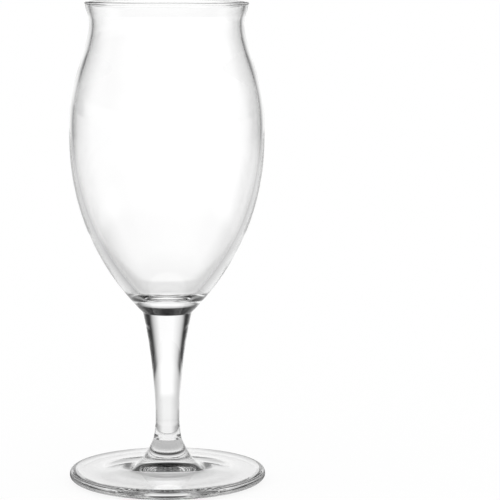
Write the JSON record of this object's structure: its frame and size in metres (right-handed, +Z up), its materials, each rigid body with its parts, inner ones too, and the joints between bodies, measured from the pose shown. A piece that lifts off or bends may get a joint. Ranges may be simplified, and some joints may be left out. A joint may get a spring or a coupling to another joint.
{
  "type": "stemmed glass",
  "caption": "Stemmed beer glass: deep belly drawn in to a neck, flared beaded lip, waisted solid stem and round foot with a raised boss.",
  "frame": {"origin": "centre of the foot's resting ring, on the surface that the glass stands on", "axes": "+Z up the stem to the rim; the glass is round about Z, so X and Y are any two directions across it"},
  "size_m": [0.082, 0.082, 0.2],
  "materials": {
    "clear_glass": "fire-polished clear soda-lime glass"
  },
  "bodies": {
    "root": {"foot": "clear_glass", "stem": "clear_glass", "bowl": "clear_glass"}
  },
  "joints": []
}
